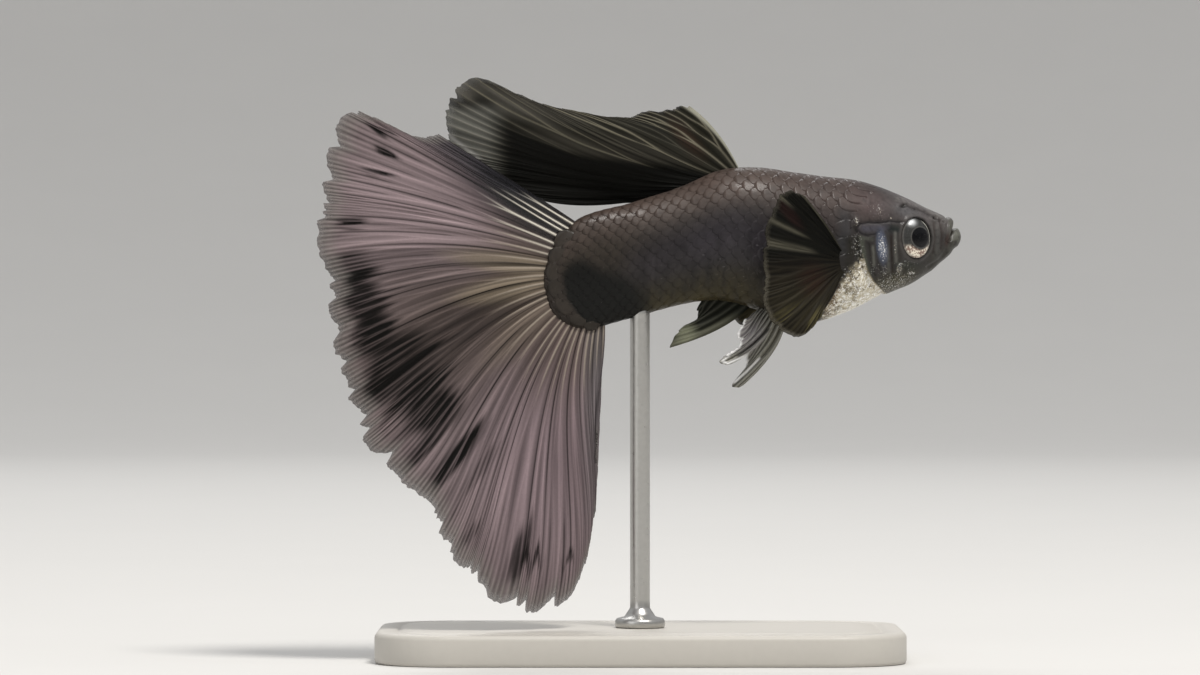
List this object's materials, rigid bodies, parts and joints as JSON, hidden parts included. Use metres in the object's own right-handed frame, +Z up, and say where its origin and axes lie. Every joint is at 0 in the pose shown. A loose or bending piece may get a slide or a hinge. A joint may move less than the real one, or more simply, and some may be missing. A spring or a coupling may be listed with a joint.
{
  "type": "fancy guppy on display stand",
  "caption": "Male fancy guppy swimming, with a wide fan tail, trailing back fin and broad breast fins, held by one rod on a flat base.",
  "frame": {"origin": "middle of the stand base's underside, below the rod", "axes": "+X towards the snout, +Y to the fish's left, +Z up"},
  "size_m": [0.0512, 0.024, 0.0465],
  "materials": {
    "head_skin": "wet skin, dark grey with silver specks",
    "body_skin": "fine wet scales, charcoal brown, silver-white under the throat",
    "gill_cover": "silver-grey, wet",
    "eye": "wet, black pupil in a grey-gold ring",
    "tail_fin": "mauve-grey fin with dark patches, finely rayed",
    "dark_fin": "near-black fin with grey rays",
    "pale_fin": "clear grey fin with bluish-white rays",
    "rod": "fine brushed",
    "base": "satin, warm light grey"
  },
  "bodies": {
    "root": {"head": "head_skin", "trunk": "body_skin", "tail_stem": "body_skin", "upper_lip": "head_skin", "lower_lip": "head_skin", "gill_cover_right": "gill_cover", "gill_cover_left": "gill_cover", "eye_right": "eye", "eye_left": "eye", "caudal_fin": "tail_fin", "dorsal_fin": "dark_fin", "pectoral_fin_right": "dark_fin", "pectoral_fin_left": "dark_fin", "pelvic_fin_right": "pale_fin", "pelvic_fin_left": "pale_fin", "gonopodium": "pale_fin", "stand_rod": "rod", "stand_base": "base"}
  },
  "joints": []
}
